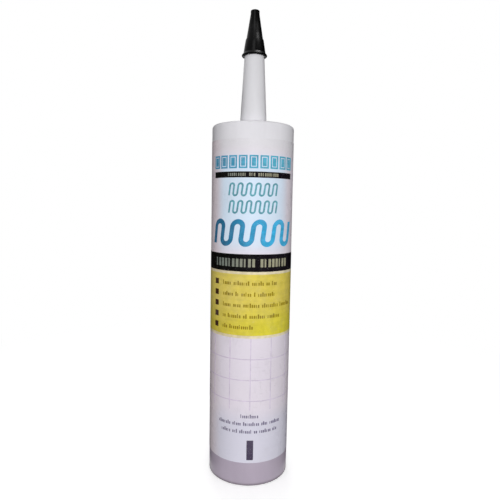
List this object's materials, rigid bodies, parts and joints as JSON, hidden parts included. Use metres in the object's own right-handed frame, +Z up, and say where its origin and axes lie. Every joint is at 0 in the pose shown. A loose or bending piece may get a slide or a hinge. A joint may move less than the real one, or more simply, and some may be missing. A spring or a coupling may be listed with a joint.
{
  "type": "caulk tube",
  "caption": "Filled caulk tube with a moulded barrel, head and tapered nozzle, a push-on black cap, a printed label and a plunger in its open end.",
  "frame": {"origin": "centre of the barrel's open rim, on the plane that the tube stands on", "axes": "+Z up the tube's axis to the nozzle's tip, -Y out of the front of the print, +X to the right of the print seen from the front"},
  "size_m": [0.0504, 0.0506, 0.286],
  "materials": {
    "natural_polyethylene": "satin moulded natural polyethylene, slightly translucent",
    "cap_black": "glossy black moulding",
    "plunger_plastic": "satin moulding",
    "foil": "bright foil",
    "sealant_paste": "wet white paste",
    "label_film": "semi-gloss white film",
    "ink_black": "semi-gloss ink",
    "ink_yellow": "semi-gloss ink",
    "ink_cream": "semi-gloss ink",
    "ink_brown": "semi-gloss ink",
    "ink_olive": "semi-gloss ink",
    "ink_teal": "semi-gloss ink",
    "ink_blue": "semi-gloss ink",
    "ink_slate": "semi-gloss ink",
    "ink_grid": "semi-gloss ink"
  },
  "bodies": {
    "cartridge": {"cartridge": "natural_polyethylene", "foil_seal": "foil", "sealant": "sealant_paste", "label": "label_film", "print_black": "ink_black", "print_yellow": "ink_yellow", "print_cream": "ink_cream", "print_brown": "ink_brown", "print_olive": "ink_olive", "print_teal": "ink_teal", "print_blue": "ink_blue", "print_slate": "ink_slate", "print_grid": "ink_grid"},
    "cap": {"nozzle_cap": "cap_black"},
    "plunger": {"plunger": "plunger_plastic"}
  },
  "joints": [
    {"name": "cap_pull", "type": "slide", "parent": "cartridge", "child": "cap", "axis": [0, 0, 1], "range_m": [0, 0.04]},
    {"name": "plunger_slide", "type": "slide", "parent": "cartridge", "child": "plunger", "axis": [0, 0, 1], "range_m": [0, 0.18], "deforming": ["sealant"]}
  ]
}
